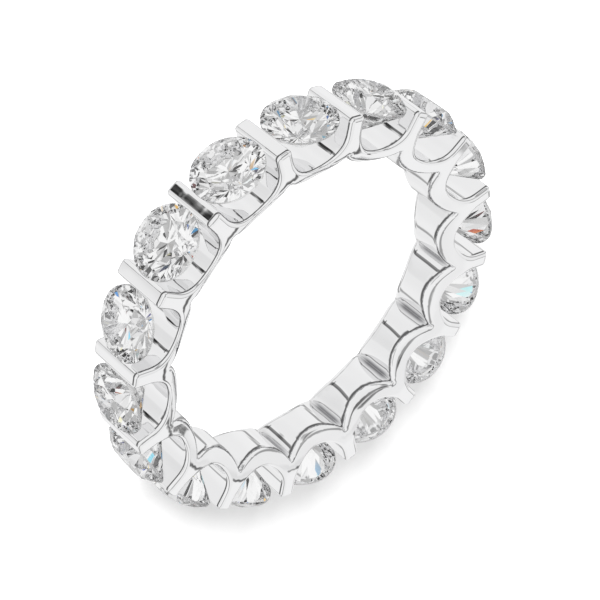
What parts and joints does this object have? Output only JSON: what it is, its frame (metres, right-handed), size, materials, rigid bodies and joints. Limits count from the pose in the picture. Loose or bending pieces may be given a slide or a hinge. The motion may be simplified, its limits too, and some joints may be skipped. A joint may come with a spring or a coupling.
{
  "type": "bar set eternity band",
  "caption": "Finger ring lying on its side: round brilliant stones all the way round, each held at its girdle between upright metal bars above an open cradle.",
  "frame": {"origin": "on the ring's axis, in the plane that the lowest girdles rest on when the ring lies on its side", "axes": "+Z along the ring's axis, upwards; a bar lies on +X, -X, +Y and -Y"},
  "size_m": [0.0246, 0.0246, 0.0039],
  "materials": {
    "white_gold": "mirror-polished 18 carat white gold with a bright rhodium plate",
    "diamond": "colourless diamond, cut and polished as a round brilliant"
  },
  "bodies": {
    "root": {"band": "white_gold", "stone_01": "diamond", "stone_02": "diamond", "stone_03": "diamond", "stone_04": "diamond", "stone_05": "diamond", "stone_06": "diamond", "stone_07": "diamond", "stone_08": "diamond", "stone_09": "diamond", "stone_10": "diamond", "stone_11": "diamond", "stone_12": "diamond", "stone_13": "diamond", "stone_14": "diamond", "stone_15": "diamond", "stone_16": "diamond"}
  },
  "joints": []
}
